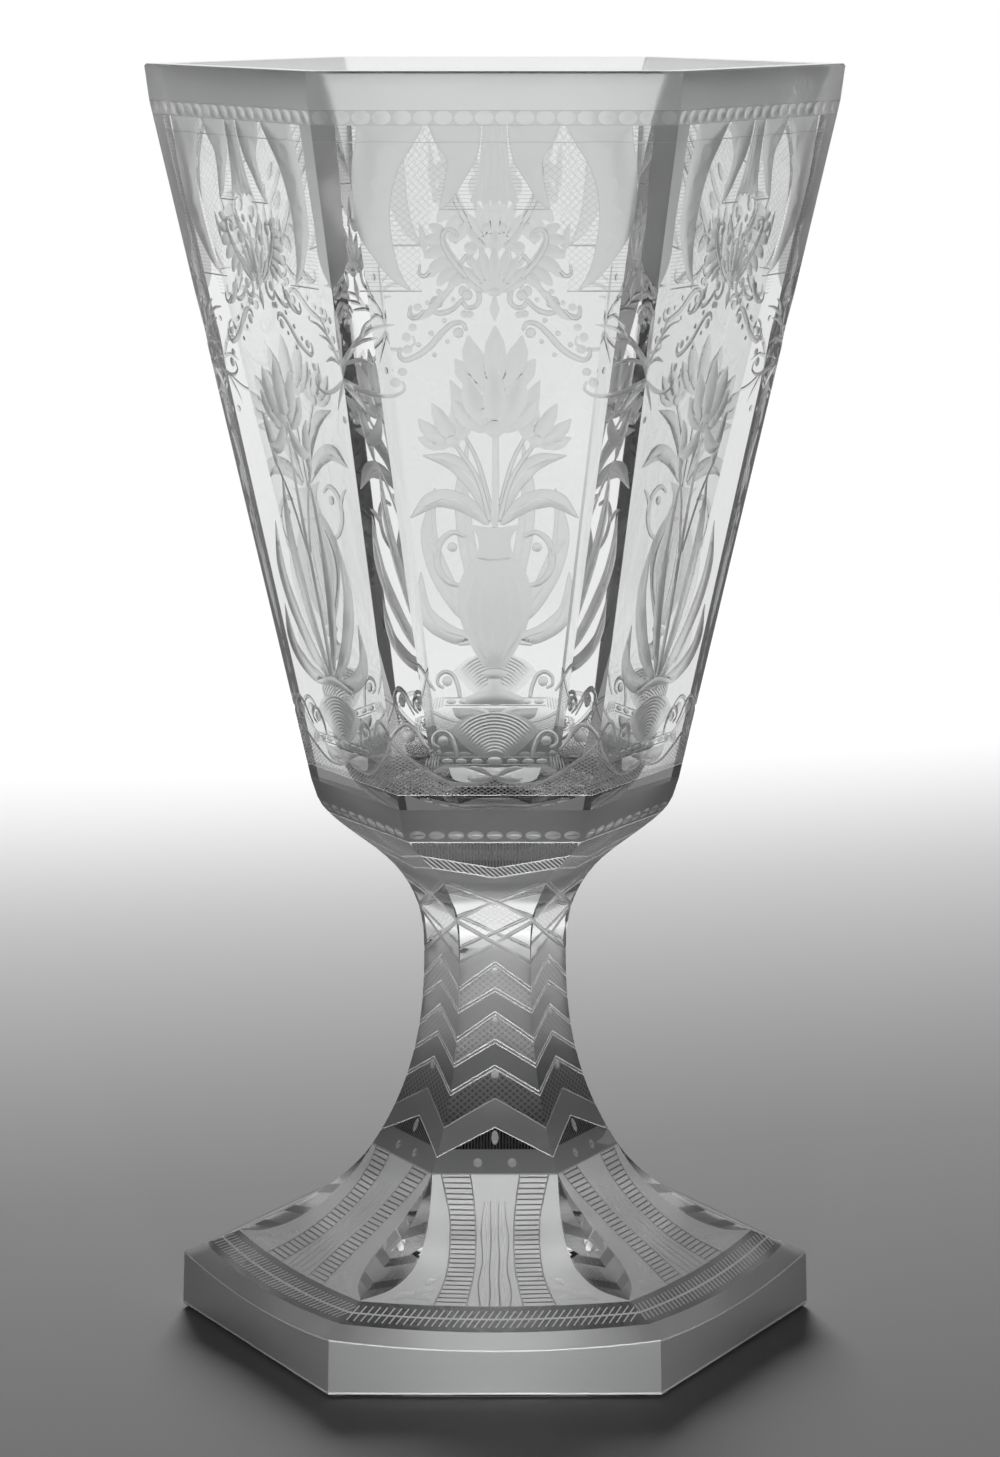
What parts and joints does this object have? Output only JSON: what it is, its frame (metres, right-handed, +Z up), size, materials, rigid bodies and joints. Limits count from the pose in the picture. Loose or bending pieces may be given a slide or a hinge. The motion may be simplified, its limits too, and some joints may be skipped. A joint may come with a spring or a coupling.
{
  "type": "glass chalice",
  "caption": "Hexagonal cut-glass chalice: a tall tapered bowl on a waisted stem and a stepped spreading foot, with matt engraved ornament.",
  "frame": {"origin": "centre of the foot's flat underside, on the surface that the chalice stands on", "axes": "+Z up along the chalice's own axis, -Y through the middle of the front flat, +X through an arris"},
  "size_m": [0.1352, 0.117, 0.25],
  "materials": {
    "bowl_crystal": "polished, with matt wheel-engraved ornament",
    "stem_crystal": "mostly matt, with engraved zigzags and a few polished facets",
    "foot_crystal": "matt sides, polished bevel and flutes, with engraved ornament"
  },
  "bodies": {
    "root": {"bowl": "bowl_crystal", "stem": "stem_crystal", "foot": "foot_crystal"}
  },
  "joints": []
}
